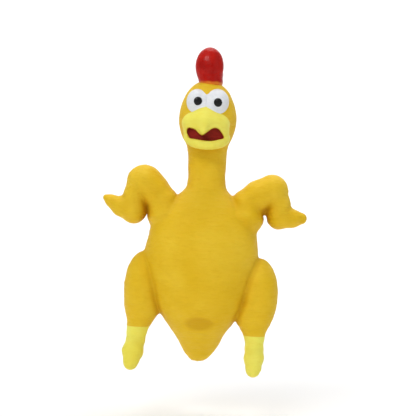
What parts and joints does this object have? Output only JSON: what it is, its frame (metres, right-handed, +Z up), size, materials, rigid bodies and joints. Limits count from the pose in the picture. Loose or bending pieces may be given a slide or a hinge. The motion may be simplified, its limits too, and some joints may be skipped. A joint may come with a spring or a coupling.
{
  "type": "squeaky rubber chicken",
  "caption": "Upright hollow latex chicken with folded wings, dangling legs, a parted beak, a soft comb and a reed squeaker pressed into its back.",
  "frame": {"origin": "centre of the hand's grip round the belly, 66 mm above the soles of the feet", "axes": "+Z up from feet to comb, -Y the way the chicken faces, +X its own left side"},
  "size_m": [0.131, 0.0574, 0.2085],
  "materials": {
    "yellow_latex": "matte",
    "lemon_latex": "satin",
    "red_latex": "gloss",
    "mouth_paint": "satin",
    "eye_paint": "satin",
    "pupil_paint": "gloss",
    "fibre_stuffing": "matte",
    "squeaker_plastic": "satin",
    "reed_film": "satin"
  },
  "bodies": {
    "torso": {"torso": "yellow_latex", "belly_rim_flex": "yellow_latex", "neck_base_flex": "yellow_latex", "right_shoulder_flex": "yellow_latex", "left_shoulder_flex": "yellow_latex", "right_hip_flex": "yellow_latex", "left_hip_flex": "yellow_latex", "torso_stuffing": "fibre_stuffing", "squeaker_shell": "squeaker_plastic", "squeaker_cover": "squeaker_plastic", "reed_trough": "squeaker_plastic", "reed_clamp": "squeaker_plastic"},
    "belly": {"belly_press_patch": "yellow_latex"},
    "neck": {"neck": "yellow_latex", "throat_flex": "yellow_latex", "neck_stuffing": "fibre_stuffing"},
    "head": {"head": "yellow_latex", "head_stuffing": "fibre_stuffing", "comb_root_flex": "red_latex", "right_eye": "eye_paint", "left_eye": "eye_paint", "right_pupil": "pupil_paint", "left_pupil": "pupil_paint", "upper_beak": "lemon_latex", "lower_beak": "lemon_latex", "mouth_lining": "mouth_paint"},
    "comb": {"comb": "red_latex"},
    "reed": {"reed": "reed_film"},
    "right_wing": {"right_wing": "yellow_latex", "right_wrist_flex": "yellow_latex"},
    "right_wingtip": {"right_wingtip": "yellow_latex"},
    "right_leg": {"right_thigh": "yellow_latex", "right_shank": "yellow_latex", "right_ankle_flex": "lemon_latex", "right_thigh_stuffing": "fibre_stuffing"},
    "right_foot": {"right_foot": "lemon_latex"},
    "left_wing": {"left_wing": "yellow_latex", "left_wrist_flex": "yellow_latex"},
    "left_wingtip": {"left_wingtip": "yellow_latex"},
    "left_leg": {"left_thigh": "yellow_latex", "left_shank": "yellow_latex", "left_ankle_flex": "lemon_latex", "left_thigh_stuffing": "fibre_stuffing"},
    "left_foot": {"left_foot": "lemon_latex"}
  },
  "joints": [
    {"name": "belly_press", "type": "slide", "parent": "torso", "child": "belly", "axis": [0, 1, 0], "range_m": [0, 0.012], "stiffness_N_per_m": 150, "deforming": ["belly_rim_flex", "torso_stuffing"]},
    {"name": "neck_bend", "type": "hinge", "parent": "torso", "child": "neck", "pos_m": [0.0012, 0, 0.055], "axis": [1, 0, 0], "range_deg": [-35, 35], "stiffness_Nm_per_rad": 0.12, "deforming": ["neck_base_flex"]},
    {"name": "head_sway", "type": "hinge", "parent": "neck", "child": "head", "pos_m": [0.0007, 0, 0.075], "axis": [0, 1, 0], "range_deg": [-25, 25], "stiffness_Nm_per_rad": 0.12, "deforming": ["throat_flex"]},
    {"name": "comb_wobble", "type": "hinge", "parent": "head", "child": "comb", "pos_m": [0, 0.002, 0.1205], "axis": [0, 1, 0], "range_deg": [-18, 18], "stiffness_Nm_per_rad": 0.06, "deforming": ["comb_root_flex"]},
    {"name": "reed_beat", "type": "hinge", "parent": "torso", "child": "reed", "pos_m": [0, 0.0167, -0.004], "axis": [1, 0, 0], "range_deg": [0, 5], "stiffness_Nm_per_rad": 0.0002},
    {"name": "right_shoulder", "type": "hinge", "parent": "torso", "child": "right_wing", "pos_m": [-0.0291, -0.001, 0.0432], "axis": [0, 1, 0], "range_deg": [-12, 18], "stiffness_Nm_per_rad": 0.08, "deforming": ["right_shoulder_flex"]},
    {"name": "right_wrist", "type": "hinge", "parent": "right_wing", "child": "right_wingtip", "pos_m": [-0.0545, -0.001, 0.0399], "axis": [0, 1, 0], "range_deg": [-20, 20], "stiffness_Nm_per_rad": 0.03, "deforming": ["right_wrist_flex"]},
    {"name": "right_hip", "type": "hinge", "parent": "torso", "child": "right_leg", "pos_m": [-0.036, -0.004, 0], "axis": [1, 0, 0], "range_deg": [-12, 12], "stiffness_Nm_per_rad": 0.15, "deforming": ["right_hip_flex"]},
    {"name": "right_ankle", "type": "hinge", "parent": "right_leg", "child": "right_foot", "pos_m": [-0.0389, -0.004, -0.041], "axis": [1, 0, 0], "range_deg": [-25, 25], "stiffness_Nm_per_rad": 0.04, "deforming": ["right_ankle_flex"]},
    {"name": "left_shoulder", "type": "hinge", "parent": "torso", "child": "left_wing", "pos_m": [0.0309, -0.001, 0.043], "axis": [0, -1, 0], "range_deg": [-12, 18], "stiffness_Nm_per_rad": 0.08, "deforming": ["left_shoulder_flex"]},
    {"name": "left_wrist", "type": "hinge", "parent": "left_wing", "child": "left_wingtip", "pos_m": [0.0578, -0.001, 0.0367], "axis": [0, -1, 0], "range_deg": [-20, 20], "stiffness_Nm_per_rad": 0.03, "deforming": ["left_wrist_flex"]},
    {"name": "left_hip", "type": "hinge", "parent": "torso", "child": "left_leg", "pos_m": [0.036, -0.004, 0], "axis": [1, 0, 0], "range_deg": [-12, 12], "stiffness_Nm_per_rad": 0.15, "deforming": ["left_hip_flex"]},
    {"name": "left_ankle", "type": "hinge", "parent": "left_leg", "child": "left_foot", "pos_m": [0.0363, -0.004, -0.0439], "axis": [1, 0, 0], "range_deg": [-25, 25], "stiffness_Nm_per_rad": 0.04, "deforming": ["left_ankle_flex"]}
  ]
}
